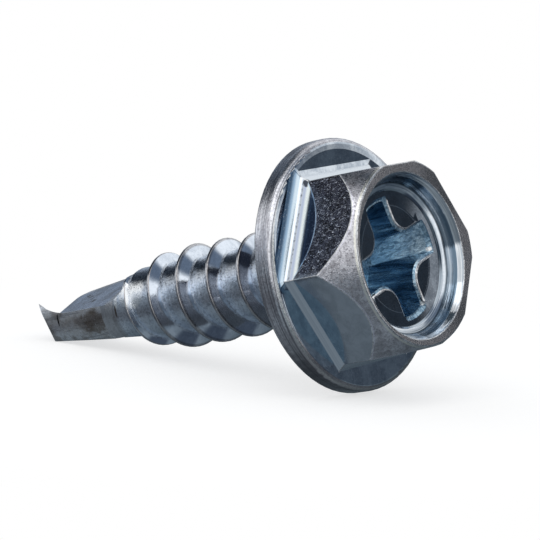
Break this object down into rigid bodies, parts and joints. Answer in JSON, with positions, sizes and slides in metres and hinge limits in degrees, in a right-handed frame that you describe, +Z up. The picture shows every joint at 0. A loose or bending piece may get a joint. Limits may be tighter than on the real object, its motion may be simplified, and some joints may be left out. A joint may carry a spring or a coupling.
{
  "type": "self drilling screw",
  "caption": "Hexagon washer head self drilling screw with a cross recess in a stepped hollow, a coarse tapping thread and a two-winged drill point, lying on its side.",
  "frame": {"origin": "under the middle of the bounding box of the lying screw, in the plane it rests on", "axes": "+X along the length of the lying screw towards its head, +Z up"},
  "size_m": [0.0216, 0.011, 0.0108],
  "materials": {
    "zinc_plated_steel": "bright zinc plating with a bluish cast, pitted on the flats and worn on the edges"
  },
  "bodies": {
    "root": {"screw": "zinc_plated_steel"}
  },
  "joints": []
}
